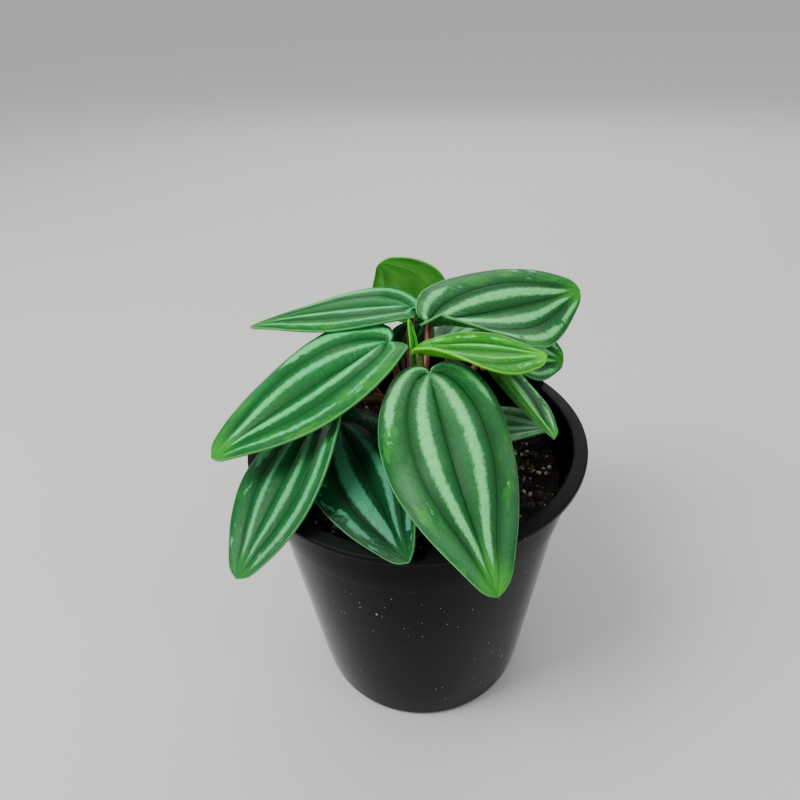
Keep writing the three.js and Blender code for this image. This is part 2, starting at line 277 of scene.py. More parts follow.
# %% Specks, a group that several finishes share
def make_specks_group():
    group = new_group("specks", ("Place", "Scale", "Size", "Thinning"), ("Mask",), vectors=("Place",))
    given = group.nodes.new("NodeGroupInput").outputs
    cells = outputs_of(group, "TexVoronoi", {"Vector": given["Place"], "Scale": given["Scale"]})
    dot = calc(group, "LESS_THAN", cells["Distance"], given["Size"])
    cell_value = outputs_of(group, "SeparateColor", {"Color": cells["Color"]})["Red"]
    chosen = calc(group, "GREATER_THAN", cell_value, given["Thinning"])
    give_out(group, {"Mask": times(group, dot, chosen)})
    return group


specks_group = make_specks_group()


def specks(tree, place, scale, size, thinning):
    values = {"Place": place, "Scale": scale, "Size": size, "Thinning": thinning}
    return use_group(tree, specks_group, values)["Mask"]


print("group:", specks_group.name)

# %% [markdown]
# The pot is moulded polypropylene: thin, black and shiny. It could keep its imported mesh, but a shiny surface
# shows every flat face, so a profile is spun in many small steps instead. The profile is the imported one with
# rounder corners: a flange that hangs over, a collar under it with a small lip, and a wall that narrows down
# to a foot ring.

# %% Pot profile
RIM_RADIUS = 50
POT_HEIGHT = 93
RIM_WIDTH = 3.6
RIM_THICKNESS = 2
RIM_CORNER = 0.5
COLLAR_FOOT = 75.5
COLLAR_TOP_RADIUS = 46.4
COLLAR_FOOT_RADIUS = 45.3
COLLAR_STEP = 0.9
WALL_TOP_RADIUS = COLLAR_FOOT_RADIUS - COLLAR_STEP
POT_WALL = 1.3
BASE_RADIUS = 35.4
BASE_CORNER = 2.2
FOOT_WIDTH = 4.5
FOOT_RISE = 1.6
FLOOR_TOP = 3.1
CENTRE_PAD = 10
# Small roundings at the collar and the rim, and how far the inner corner of the rim lies under its top
SOFT_EDGE = 0.3
INNER_CORNER_DROP = 1.6
# The wall has a ring of faces at each of these heights, the last two close under the collar's lip
WALL_RINGS = (8, 20, 35, 50, 65, COLLAR_FOOT - 1, COLLAR_FOOT - 0.6)
POT_STEPS = 144


def wall_radius(height):
    return BASE_RADIUS + (WALL_TOP_RADIUS - BASE_RADIUS) * height / COLLAR_FOOT


def corner(centre, radius, start, end, steps=4):
    points = []
    for i in range(steps + 1):
        turn = math.radians(start + (end - start) * i / steps)
        points.append((centre[0] + radius * math.cos(turn), centre[1] + radius * math.sin(turn)))
    return points


def pot_profile():
    flange_foot = POT_HEIGHT - RIM_THICKNESS
    foot_edge = BASE_RADIUS - BASE_CORNER
    inner = COLLAR_TOP_RADIUS - POT_WALL
    inner_wall = [
        (wall_radius(COLLAR_FOOT) - POT_WALL, WALL_RINGS[-1]),
        (wall_radius(FLOOR_TOP + BASE_CORNER) - POT_WALL, FLOOR_TOP + BASE_CORNER),
        (wall_radius(FLOOR_TOP) - POT_WALL - BASE_CORNER, FLOOR_TOP),
    ]
    return [
        (0, 0), (CENTRE_PAD, 0), (CENTRE_PAD + FOOT_RISE, FOOT_RISE),
        (foot_edge - FOOT_WIDTH - FOOT_RISE, FOOT_RISE), (foot_edge - FOOT_WIDTH, 0),
        *corner((foot_edge, BASE_CORNER), BASE_CORNER, -90, 0, 6),
        *((wall_radius(height), height) for height in WALL_RINGS),
        *corner((COLLAR_FOOT_RADIUS - SOFT_EDGE, COLLAR_FOOT + SOFT_EDGE), SOFT_EDGE, -90, 0),
        (COLLAR_FOOT_RADIUS + 0.4, COLLAR_FOOT + 6), (COLLAR_TOP_RADIUS, flange_foot - SOFT_EDGE),
        *corner((RIM_RADIUS - RIM_CORNER, flange_foot + RIM_CORNER), RIM_CORNER, -90, 0),
        *corner((RIM_RADIUS - RIM_CORNER, POT_HEIGHT - RIM_CORNER), RIM_CORNER, 0, 90),
        *corner((RIM_RADIUS - RIM_WIDTH, POT_HEIGHT - RIM_CORNER), RIM_CORNER, 90, 150),
        (inner, POT_HEIGHT - INNER_CORNER_DROP), (inner - 0.4, POT_HEIGHT - 8),
        *inner_wall, (0, FLOOR_TOP),
    ]


print("pot profile of", len(pot_profile()), "points")

# %% [markdown]
# Spinning a profile is the turning of a wooden bowl in reverse: the outline goes round the axis. The points
# that lie on the axis all meet there, so doubles are merged and the normals are worked out once more. The
# drain holes are cut afterwards by a Boolean with a ring of pegs.

# %% Spin the pot and cut its drain holes
DRAIN_HOLES = 6
DRAIN_HOLE_RADIUS = 3.6
DRAIN_RING_RADIUS = 20.5
SAME_POINT = 0.00001
SHARP_EDGE = math.radians(50)


def apply_modifiers(made):
    bpy.context.view_layer.update()
    evaluated = made.evaluated_get(bpy.context.evaluated_depsgraph_get())
    mesh = bpy.data.meshes.new_from_object(evaluated)
    made.modifiers.clear()
    made.data = mesh


def spun(profile, steps):
    shape = bmesh.new()
    corners = [shape.verts.new((radius * MM, 0, height * MM)) for radius, height in profile]
    edges = [shape.edges.new(pair) for pair in zip(corners, corners[1:])]
    bmesh.ops.spin(
        shape, geom=corners + edges, cent=(0, 0, 0), axis=(0, 0, 1), angle=math.tau, steps=steps,
        use_merge=True)
    bmesh.ops.remove_doubles(shape, verts=shape.verts, dist=SAME_POINT)
    bmesh.ops.recalc_face_normals(shape, faces=shape.faces)
    smooth_faces(shape)
    return shape


def drain_pegs():
    shape = bmesh.new()
    for i in range(DRAIN_HOLES):
        turn = math.tau * i / DRAIN_HOLES
        place = Vector((math.cos(turn), math.sin(turn), 0)) * DRAIN_RING_RADIUS * MM
        bmesh.ops.create_cone(
            shape, cap_ends=True, segments=28, radius1=DRAIN_HOLE_RADIUS * MM, radius2=DRAIN_HOLE_RADIUS * MM,
            depth=4 * FLOOR_TOP * MM, matrix=Matrix.Translation(place))
    return finished_object("drain_pegs", shape)


def make_pot(material):
    pot = finished_object("nursery_pot", spun(pot_profile(), POT_STEPS), material)
    pegs = drain_pegs()
    cut = pot.modifiers.new("drain holes", "BOOLEAN")
    cut.operation = "DIFFERENCE"
    cut.object = pegs
    apply_modifiers(pot)
    bpy.data.objects.remove(pegs)
    pot.data.set_sharp_from_angle(angle=SHARP_EDGE)
    return pot


print("drain holes:", DRAIN_HOLES)

# %% [markdown]
# The black of the pot is not quite even. The mould leaves a faint ripple that bends the reflections, use
# leaves hairline scratches, and grains of pale dust gather in patches on the wall. On the flange's top the
# black is painted greyer, a painted sheen of the light from above, and the roughness rises with height.

# %% Pot finish
POT_BLACK = (0.002, 0.002, 0.0024, 1)
# Both the dust film and the painted sheen on the flange's top take this greyer black
POT_DUST_AND_SHEEN = (0.009, 0.0105, 0.0105, 1)
DUST = (0.7, 0.67, 0.6, 1)


def make_pot_finish():
    material, tree, shader = new_finish("black pot plastic")
    place = object_place(tree)
    height = parts_of(tree, place)["Z"]
    # Painted sheen: the flange's top gets the greyer black, as the light from above shows it, and more
    # roughness
    flange_sheen = soft_step(tree, height, (POT_HEIGHT - 0.9) * MM, POT_HEIGHT * MM)
    film = noise_of(tree, stretched(tree, place, (1, 1, 0.25)), 60, 4, 0.6)
    dusty = times(tree, soft_step(tree, film, 0.45, 0.75), 0.12)
    dust_and_sheen = calc(tree, "MAXIMUM", times(tree, flange_sheen, 0.75), dusty)
    large = specks(tree, place, 520, 0.15, 0.97)
    fine = specks(tree, place, 1000, 0.19, 0.93)
    gathered = soft_step(tree, noise_of(tree, place, 32, 1), 0.5, 0.6)
    dust = times(tree, calc(tree, "MAXIMUM", large, times(tree, fine, 0.6)), gathered)
    scratches = noise_of(tree, stretched(tree, place, (1, 1, 22)), 45, 2, 0.4)
    lines = soft_step(tree, calc(tree, "ABSOLUTE", less(tree, scratches, 0.5)), 0.006, 0.0)
    base = calc(tree, "MULTIPLY_ADD", dust_and_sheen, 0.42, 0.1)
    ripple = noise_of(tree, stretched(tree, place, (1, 1, 0.3)), 55, 1, 0.3)
    relief = calc(tree, "MULTIPLY_ADD", noise_of(tree, place, 700, 2, 0.5), 0.02, ripple)
    feed(tree, shader, {
        "Base Color": blend(tree, dust, blend(tree, dust_and_sheen, POT_BLACK, POT_DUST_AND_SHEEN), DUST),
        "Roughness": calc(tree, "MULTIPLY_ADD", lines, 0.1, calc(tree, "MULTIPLY_ADD", dust, 0.5, base)),
        "Normal": bump(tree, relief, 0.0007, 0.5),
        "IOR": 1.16,
        "Specular IOR Level": 0.4,
    })
    return material


pot_finish = make_pot_finish()
pot = make_pot(pot_finish)
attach(pot, "root")
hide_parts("pot")
print("pot faces:", len(pot.data.polygons))

# %% [markdown]
# The peat fills the pot to 13 mm under the rim. It is one closed body. Its top is a square grid, pressed
# into a circle, because a grid has faces of one size all over, where a spun disc has slivers in its middle.
# Noise at three sizes makes its mounds, clods and crumbs, and the rim of the grid is then drawn down along
# the wall and closed at the bottom.

# %% Peat
SOIL_LEVEL = 80
SOIL_GAP = 0.35
SOIL_CELLS = 210
SOIL_EDGE = wall_radius(SOIL_LEVEL) - POT_WALL - SOIL_GAP
LUMP_WAVES = [(0.31, 0.12, 0.4), (-0.17, 0.36, 1.9), (0.52, -0.41, 3.1), (0.64, 0.55, 5.2)]
SOIL_LUMP = 1.5
LUMP_EDGE = 8
CLOD_HEIGHT = 1.5
CRUMB_HEIGHT = 0.42
# Below its grid the peat goes down along the wall to its underside, by these radii and heights
PEAT_SIDE = [
    (wall_radius(COLLAR_FOOT - 1) - POT_WALL - SOIL_GAP, COLLAR_FOOT - 1),
    (wall_radius(6) - POT_WALL - SOIL_GAP, 6),
    (wall_radius(4) - POT_WALL - 3, 3.5),
]


def peat_height(x, y):
    fade = min(1, max(0, (SOIL_EDGE - math.hypot(x, y)) / LUMP_EDGE))
    mounds = sum(math.sin(kx * x + ky * y + phase) for kx, ky, phase in LUMP_WAVES)
    clods = noise.turbulence((x * 0.32, y * 0.32, 3.7), 4, False, noise_basis="PERLIN_ORIGINAL")
    crumbs = noise.noise((x * 1.3, y * 1.3, 8.1)) + 0.6 * noise.noise((x * 2.6, y * 2.6, 1.4))
    rough = CLOD_HEIGHT * (clods - 0.45) + CRUMB_HEIGHT * crumbs
    return SOIL_LEVEL + SOIL_LUMP * fade * mounds / len(LUMP_WAVES) + rough * (0.35 + 0.65 * fade)


def round_from_square(x, y):
    return x * math.sqrt(1 - y * y / 2), y * math.sqrt(1 - x * x / 2)


def make_peat(material):
    shape = bmesh.new()
    bmesh.ops.create_grid(shape, x_segments=SOIL_CELLS, y_segments=SOIL_CELLS, size=1)
    for corner_point in shape.verts:
        x, y = round_from_square(corner_point.co.x, corner_point.co.y)
        x, y = x * SOIL_EDGE, y * SOIL_EDGE
        corner_point.co = Vector((x, y, peat_height(x, y))) * MM
    for radius, height in PEAT_SIDE:
        border = [edge for edge in shape.edges if edge.is_boundary]
        drawn = bmesh.ops.extrude_edge_only(shape, edges=border)["geom"]
        for point in [part for part in drawn if isinstance(part, bmesh.types.BMVert)]:
            flat = Vector((point.co.x, point.co.y, 0)).normalized() * radius
            point.co = Vector((flat.x, flat.y, height)) * MM
    bmesh.ops.holes_fill(shape, edges=[edge for edge in shape.edges if edge.is_boundary], sides=0)
    bmesh.ops.triangulate(shape, faces=[face for face in shape.faces if len(face.verts) > 4])
    bmesh.ops.recalc_face_normals(shape, faces=shape.faces)
    smooth_faces(shape)
    return finished_object("peat", shape, material)


print("height of the peat's middle in mm:", round(peat_height(0, 0), 1))

# %% [markdown]
# Peat is nearly black when it is damp, and brown where a crumb has dried. Its finish follows noise at
# several sizes, and is rough all over with a slight glint of damp in its darker patches.

# %% Peat finish
PEAT_DARK = (0.0045, 0.0035, 0.003, 1)
PEAT_BROWN = (0.045, 0.03, 0.017, 1)
PEAT_DRY = (0.11, 0.075, 0.045, 1)


def make_peat_finish():
    material, tree, shader = new_finish("damp peat")
    place = object_place(tree)
    clods = noise_of(tree, place, 260, 6, 0.7)
    colour = blend(tree, soft_step(tree, clods, 0.42, 0.72), PEAT_DARK, PEAT_BROWN)
    crumbs = specks(tree, place, 900, 0.32, 0.9)
    dry = times(tree, crumbs, soft_step(tree, noise_of(tree, place, 120, 2), 0.4, 0.6))
    relief = calc(tree, "ADD", noise_of(tree, place, 1500, 5, 0.75), clods)
    feed(tree, shader, {
        "Base Color": blend(tree, dry, colour, PEAT_DRY),
        "Roughness": calc(tree, "MULTIPLY_ADD", clods, 0.5, 0.55),
        "Normal": bump(tree, relief, 0.0009, 0.9),
        "Specular IOR Level": 0.3,
    })
    return material


peat_finish = make_peat_finish()
peat = make_peat(peat_finish)
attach(peat, "root")
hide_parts("soil")
print("peat faces:", len(peat.data.polygons))

# %% [markdown]
# White grains of perlite, bark chips, yellow-green crumbs of moss and pale fibres lie on the peat. There are
# hundreds of them, so each is a tiny shape with few faces, and all of one kind share one mesh. A seeded
# random draw scatters them over the pot's opening, half sunk, with none inside the crown. Some of the
# perlite and most of the moss lie together in heaps.

# %% Scatter on the peat
HEAPS = [(27, -11), (33, -3), (23, -21), (30, 4), (-27, -26)]
HEAP_SPREAD = 3
CROWN_CLEARANCE = 8
GRAIN_MARGIN = 1.5
GRAIN_NARROWEST = 0.6
GRAIN_TILT = 0.5
GRAIN_LIFT = 0.35
GRAIN_SHAKE = 0.07
FIBRE_MARGIN = 4
FIBRE_POINTS = 5
FIBRE_LENGTHS = (1.5, 6)
FIBRE_RADII = (0.07, 0.2)
FIBRE_TURN = 0.35


def scatter_place(draw, margin):
    while True:
        x, y = draw.uniform(-SOIL_EDGE, SOIL_EDGE), draw.uniform(-SOIL_EDGE, SOIL_EDGE)
        if CROWN_CLEARANCE < math.hypot(x, y) < SOIL_EDGE - margin:
            return x, y


def heap_place(draw):
    x, y = draw.choice(HEAPS)
    return draw.gauss(x, HEAP_SPREAD), draw.gauss(y, HEAP_SPREAD)


def shaken(draw):
    return Vector((draw.uniform(-1, 1), draw.uniform(-1, 1), draw.uniform(-1, 1)))


def make_grains(name, count, smallest, largest, flatness, seed, material, heaped=0.0):
    draw = random.Random(seed)
    shape = bmesh.new()
    for _ in range(count):
        x, y = heap_place(draw) if draw.random() < heaped else scatter_place(draw, GRAIN_MARGIN)
        size = smallest + (largest - smallest) * draw.random() ** 2
        width = size * draw.uniform(GRAIN_NARROWEST, 1)
        stretch = Matrix.Diagonal((size, width, size * flatness, 1)).to_4x4()
        heading = Matrix.Rotation(draw.uniform(0, math.tau), 4, "Z")
        turn = heading @ Matrix.Rotation(draw.uniform(-GRAIN_TILT, GRAIN_TILT), 4, "X")
        place = Matrix.Translation((x, y, peat_height(x, y) + size * flatness * GRAIN_LIFT))
        grain = bmesh.ops.create_icosphere(
            shape, subdivisions=1, radius=0.5, matrix=Matrix.Scale(MM, 4) @ place @ turn @ stretch)
        for point in grain["verts"]:
            point.co += shaken(draw) * size * GRAIN_SHAKE * MM
    return finished_object(name, shape, material)


def tube(shape, points, radii, sides, along=None):
    ring = bmesh.ops.create_circle(shape, cap_ends=True, segments=sides, radius=1)["verts"]
    ring_edges = list({edge for point in ring for edge in point.link_edges})
    previous = Matrix.Identity(4)
    side = Vector((0.31, 0.87, 0.39))
    for i, (point, radius) in enumerate(zip(points, radii)):
        ahead = (points[min(i + 1, len(points) - 1)] - points[max(i - 1, 0)]).normalized()
        side = (side - ahead * side.dot(ahead)).normalized()
        turn = Matrix((side, ahead.cross(side), ahead)).transposed().to_4x4()
        placed = Matrix.Translation(point) @ turn @ Matrix.Scale(radius, 4)
        if i > 0:
            drawn = bmesh.ops.extrude_edge_only(shape, edges=ring_edges)["geom"]
            ring = [part for part in drawn if isinstance(part, bmesh.types.BMVert)]
            ring_edges = [part for part in drawn if isinstance(part, bmesh.types.BMEdge)
                          and all(end in ring for end in part.verts)]
        bmesh.ops.transform(shape, matrix=placed @ previous.inverted(), verts=ring)
        previous = placed
        if along is not None:
            for point_of_ring in ring:
                point_of_ring[along] = i / (len(points) - 1)
    bmesh.ops.contextual_create(shape, geom=ring_edges)


def make_fibres(name, count, seed, material):
    draw = random.Random(seed)
    shape = bmesh.new()
    for _ in range(count):
        x, y = scatter_place(draw, FIBRE_MARGIN)
        heading = draw.uniform(0, math.tau)
        length = draw.uniform(*FIBRE_LENGTHS)
        thick = draw.uniform(*FIBRE_RADII) * MM
        points = []
        for _ in range(FIBRE_POINTS):
            heading += draw.uniform(-FIBRE_TURN, FIBRE_TURN)
            x += math.cos(heading) * length / (FIBRE_POINTS - 1)
            y += math.sin(heading) * length / (FIBRE_POINTS - 1)
            lift = 0.25 + 0.5 * draw.random()
            points.append(Vector((x, y, peat_height(x, y) + lift)) * MM)
        tube(shape, points, [thick] * FIBRE_POINTS, 3)
    return finished_object(name, shape, material)


print("heaps on the peat:", len(HEAPS))

# %% [markdown]
# All the grains and fibres have the same sort of finish: two colours, mixed by a fine noise that is their
# relief too. Each kind of grain has its own count, smallest and largest size in millimetres, flatness and
# seed.

# %% Finishes of the scatter
def make_grain_finish(name, colour, darker, rough):
    material, tree, shader = new_finish(name)
    patches = noise_of(tree, object_place(tree), 1400, 4, 0.6)
    mixed = blend(tree, soft_step(tree, patches, 0.3, 0.7), darker, colour)
    relief = bump(tree, patches, 0.0004, 0.8)
    feed(tree, shader, {"Base Color": mixed, "Roughness": rough, "Normal": relief})
    return material


perlite_finish = make_grain_finish("perlite", (0.7, 0.68, 0.56, 1), (0.3, 0.27, 0.17, 1), 0.8)
bark_finish = make_grain_finish("bark", (0.06, 0.034, 0.02, 1), (0.008, 0.006, 0.005, 1), 0.7)
moss_finish = make_grain_finish("moss", (0.3, 0.3, 0.06, 1), (0.08, 0.08, 0.02, 1), 0.9)
fibre_finish = make_grain_finish("fibre", (0.2, 0.14, 0.08, 1), (0.04, 0.026, 0.016, 1), 0.8)
perlite = make_grains("perlite", 170, 0.5, 2.0, 0.75, 11, perlite_finish, heaped=0.35)
bark = make_grains("bark_chips", 230, 0.8, 3.4, 0.4, 12, bark_finish)
moss = make_grains("moss_crumbs", 170, 0.35, 1.2, 0.7, 13, moss_finish, heaped=0.7)
fibres = make_fibres("fibres", 260, 23, fibre_finish)
for piece in (perlite, bark, moss, fibres):
    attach(piece, "root")
    print(piece.name, "faces:", len(piece.data.polygons))

# %% [markdown]
# Each leaf blade follows one formula. Its midrib runs from the notch to the tip, and one control point pulls
# it away from the straight line: up by its arch, and to the leaf's right by its bow. At each place along it
# the two halves slope up or down from the midrib and bend towards the margin, by their folds. The outline is
# one heart shape that all the leaves share. The numbers below are the plant's own, in millimetres and
# degrees: base is the notch, tip the other end, and foot is where the stalk leaves the crown, as a direction
# and a height.

# %% Leaf sizes and places
# Two of the finishes are painted shade: shaded greens for leaves that lie in the shade of others. A third, the
# palest, is painted light on a low leaf in shade.
LEAVES = {
    "leaf_left": dict(
        base=(-7, 8, 119), tip=(-54, -23, 105), arch=3, bow=-2, half_width=(20, 20), roll=(0, -5),
        right_fold=(20, -10, 20, -45), left_fold=(20, 10, 10, -35), foot=(150, 91), lobe=(1, 0.3),
        finish="bright"),
    "leaf_front": dict(
        base=(4, -8, 118), tip=(15, -63, 95), arch=8, bow=3, half_width=(17, 20), roll=(-5, 10),
        right_fold=(15, -50), left_fold=(20, -60), foot=(-70, 91), finish="mature"),
    "leaf_left_low": dict(
        base=(-26, -5, 107), tip=(-47, -46, 85), arch=3, bow=-1, half_width=(15, 16), roll=(-35, 0),
        right_fold=(5, 0), left_fold=(5, 20, 5, 0), foot=(205, 93), rise=0.35, finish="dark"),
    "leaf_front_low": dict(
        base=(-23, 1, 97), tip=(-4, -52, 95), arch=1, bow=0, half_width=(16, 16), roll=(0, -35),
        right_fold=(10, 15, 10, 30), left_fold=(10, -15, 20, 10), foot=(178, 84), finish="darkest"),
    "leaf_back_left": dict(
        base=(0, 27, 120), tip=(-51, 30, 115), arch=3, bow=-1, half_width=(16, 18), roll=(-5, -10),
        right_fold=(15, 0, 0, -10), left_fold=(5, 5, 10, -45), foot=(128, 89), peak=0.3, lobe=(1, 0.2),
        finish="bright"),
    "leaf_back_upright": dict(
        base=(2, 47, 106), tip=(-9, 46, 128), arch=2, bow=0, half_width=(15, 15), roll=(-70, -70),
        right_fold=(20, 0), left_fold=(20, 0), foot=(94, 81.5), lobe=(0.8, 0.8), finish="young"),
    "leaf_back_right": dict(
        base=(6, 22, 118), tip=(58, 46, 115), arch=0, bow=2, half_width=(19, 18), roll=(-10, -50),
        right_fold=(25, 100, 0, -20), left_fold=(45, 0, 10, -45), foot=(46, 91.5), ease=0.5,
        lobe=(1, 0.8), finish="mature"),
    "leaf_new": dict(
        base=(2, 1, 121), tip=(36, -4, 120), arch=1, bow=1, half_width=(16, 9), roll=(15, -10),
        right_fold=(-20, 115, 0, 0), left_fold=(0, 60, -10, 30), foot=(10, 95), ease=0.5,
        lobe=(0.6, 0.5), finish="lime"),
    "leaf_right_behind": dict(
        base=(16, 30, 102), tip=(53, 38, 92), arch=2, bow=0, half_width=(16, 16), roll=(10, -45),
        right_fold=(5, 30, 10, 10), left_fold=(20, 0), foot=(66, 86), finish="mature"),
    "leaf_right_folded": dict(
        base=(21, 15, 108), tip=(36, -20, 104), arch=1, bow=2, half_width=(13, 13), roll=(30, 30),
        right_fold=(35, 45), left_fold=(30, -15), foot=(25, 87), finish="mature", under="fresh"),
    "leaf_right_low": dict(
        base=(11, 0, 96), tip=(38, -10, 100), arch=0, bow=0, half_width=(11, 11), roll=(5, 5),
        right_fold=(10, -10), left_fold=(10, -10), foot=(-20, 85), finish="pale"),
    "leaf_middle": dict(
        base=(-3, 20, 108), tip=(5, 38, 110), arch=1, bow=0, half_width=(8, 8), roll=(0, 0),
        right_fold=(15, 0), left_fold=(15, 0), foot=(94, 85), stalk=0.8, lobe=(0.5, 0.5),
        finish="darkest"),
    "sprout": dict(
        base=(0, 4, 116), tip=(-1, 6, 128), arch=0, bow=0, half_width=(1.8, 1.8), roll=(0, 0),
        right_fold=(35, 70), left_fold=(35, 70), foot=(240, 95), stalk=0.6, finish="lime"),
    "leaf_rear_left": dict(
        base=(-17, 22, 103), tip=(-41, 61, 78), arch=6, bow=0, half_width=(16, 16), roll=(0, 0),
        right_fold=(20, -15), left_fold=(20, -15), foot=(140, 83), finish="mature"),
    "leaf_rear_right": dict(
        base=(14, 38, 99), tip=(34, 74, 82), arch=6, bow=0, half_width=(15, 16), roll=(0, 0),
        right_fold=(15, -15), left_fold=(0, -20), foot=(42, 82), finish="dark"),
}
OUTLINE = [
    (0, 0), (-0.06, 0.1), (-0.085, 0.27), (-0.05, 0.52), (0.05, 0.76), (0.19, 0.94),
    (0.36, 1), (0.55, 0.92), (0.74, 0.67), (0.9, 0.36), (0.97, 0.19), (1, 0),
]
print("leaves:", len(LEAVES))

# %% [markdown]
# The outline is a smooth curve through its twelve points. The midrib is a quadratic curve, the simplest one
# that can both arch and bow. Beyond its two ends it goes on straight, because the lobes reach back behind
# the notch.

# %% Outline and midrib
def mix(first, second, share):
    return first + (second - first) * share


def hermite(start, end, leave, arrive, t):
    cube = (start - end) * 2 + leave + arrive
    square = (end - start) * 3 - leave * 2 - arrive
    return cube * t**3 + square * t**2 + leave * t + start


def outline_at(u):
    last = len(OUTLINE) - 1
    place = min(max(u, 0), 1) * last
    index = min(int(place), last - 1)
    t = place - index
    before, start, end, after = (OUTLINE[min(max(index + k, 0), last)] for k in (-1, 0, 1, 2))
    neighbours = zip(before, start, end, after)
    return [hermite(b, c, (c - a) / 2, (d - b) / 2, t) for a, b, c, d in neighbours]


def midrib_of(leaf):
    notch, tip = Vector(leaf["base"]), Vector(leaf["tip"])
    chord = tip - notch
    right = Vector((chord.y, -chord.x, 0)).normalized()
    up = right.cross(chord).normalized()
    pull = notch + chord * leaf.get("peak", 0.5) + up * 2 * leaf["arch"] + right * 2 * leaf["bow"]
    return notch, pull, tip


def length_of(midrib):
    notch, pull, tip = midrib
    return ((tip - notch).length * 2 + (pull - notch).length + (tip - pull).length) / 3


def midrib_frame(leaf, midrib, s):
    notch, pull, tip = midrib
    inside = min(max(s, 0), 1)
    along = mix(pull - notch, tip - pull, inside).normalized()
    place = mix(mix(notch, pull, inside), mix(pull, tip, inside), inside)
    place = place + along * (s - inside) * length_of(midrib)
    right = Vector((along.y, -along.x, 0)).normalized()
    normal = right.cross(along)
    roll = math.radians(mix(*leaf["roll"], inside))
    side = right * math.cos(roll) + normal * math.sin(roll)
    up = normal * math.cos(roll) - right * math.sin(roll)
    return place, side, up


front_midrib = midrib_of(LEAVES["leaf_front"])
print("front leaf's midrib in mm:", round(length_of(front_midrib), 1))

# %% [markdown]
# A point of the blade is named by u, from notch to tip, and v, from the left margin at -1 to the right one
# at 1. The blade is thick and quilted: it stands up in long ridges between the sunk veins, and swells a
# little between the finer cross veins. Its margin waves slightly. Those reliefs are real shape here, because
# they catch the light at the blade's outline, where a painted bump would stay flat.

# %% One point of a blade
STEP_SPREAD = 1.25
VEIN_SPACING = 0.52
RIDGE_HEIGHT = 1.15
QUILT_HEIGHT = 0.16
MARGIN_WAVE = 0.35
# By how much of their height the ridges fall towards the margin, and the power that sharpens them
RIDGE_FALL = 0.45
RIDGE_SHARPNESS = 1.4
# The relief starts within this share of the length from the notch, fades towards the tip by this power, and
# ends in this share of the half-width
RELIEF_START = 0.06
RELIEF_FADE = 0.8
RELIEF_EDGE = 0.12
# How closely the swellings follow each other, along by the millimetre and across, and the margin's waves
QUILT_ALONG = 0.33
QUILT_ACROSS = 7
WAVES_ALONG = 5
# Leaves shorter than this, in millimetres, have a lower relief
FULL_RELIEF_LENGTH = 30


def relief_at(length, seed, u, v):
    across = abs(v)
    swell = min(1, u / RELIEF_START) * (1 - u) ** RELIEF_FADE
    wave = abs(math.sin(math.pi * across / VEIN_SPACING))
    ridge = RIDGE_HEIGHT * (1 - RIDGE_FALL * across) * wave**RIDGE_SHARPNESS
    settle = min(1, (1 - across) / RELIEF_EDGE)
    quilt = noise.noise((u * length * QUILT_ALONG, v * QUILT_ACROSS, seed)) * QUILT_HEIGHT
    ruffle = MARGIN_WAVE * across**4 * noise.noise((u * WAVES_ALONG, seed + 9, v))
    full = min(1, length / FULL_RELIEF_LENGTH)
    return (ridge * settle * swell + quilt * swell + ruffle * swell) * full


def blade_point(leaf, midrib, seed, u, v):
    across = abs(v)
    left = v < 0
    hand = -1 if left else 1
    edge_x, edge_y = outline_at(u)
    lobe = leaf.get("lobe", (1, 1))[left]
    reach = edge_x * lobe if edge_x < 0 else edge_x
    x = mix(u**STEP_SPREAD, reach, across)
    out = across * edge_y * (1 - (1 - lobe) * (1 - u) ** 2)
    width = out * leaf["half_width"][left]
    fold = leaf["left_fold"] if left else leaf["right_fold"]
    folded = min(max(x, 0), 1) ** leaf.get("ease", 1)
    inner = math.radians(mix(fold[0], fold[-2], folded))
    outer = math.radians(mix(fold[1], fold[-1], folded))
    bend = (outer - inner) * out
    chord = width if abs(bend) < 1e-6 else width * math.sin(bend / 2) / (bend / 2)
    slope = inner + bend / 2
    turn = inner + bend if out > 0 else 0
    place, side, up = midrib_frame(leaf, midrib, x)
    rise = relief_at(length_of(midrib), seed, u, v)
    side_step = hand * (chord * math.cos(slope) - rise * math.sin(turn))
    return place + side * side_step + up * (chord * math.sin(slope) + rise * math.cos(turn))


front_ridge = relief_at(length_of(front_midrib), 2, 0.4, VEIN_SPACING / 2)
print("height of the front leaf's ridge in mm:", round(front_ridge, 2))

# %% [markdown]
# A stalk is round, thick and reddish brown. It leaves the crown, arches a little, comes in under the notch
# and laps under the first part of the midrib, where it flattens into it. It is a tube along a smooth curve
# through five points, a little thicker at its foot.

# %% Stalk route
CROWN_NECK_RADIUS = 3.2
STALK_RADIUS = 1.15
STALK_LAP = 4
STALK_RISE = 0.12
STALK_TUCK = 0.8
STALK_BENDS = (0.35, 0.75)
STALK_STEPS = 7


def smooth_route(points, steps):
    route = []
    ends = [points[0] * 2 - points[1], *points, points[-1] * 2 - points[-2]]
    for a, b, c, d in zip(ends, ends[1:], ends[2:], ends[3:]):
        before, here, after = ((q - p).length ** 0.5 for p, q in ((a, b), (b, c), (c, d)))
        leave = ((b - a) / before - (c - a) / (before + here) + (c - b) / here) * here
        arrive = ((c - b) / here - (d - b) / (here + after) + (d - c) / after) * here
        for i in range(steps):
            route.append(hermite(b, c, leave, arrive, i / steps))
    return [*route, points[-1]]


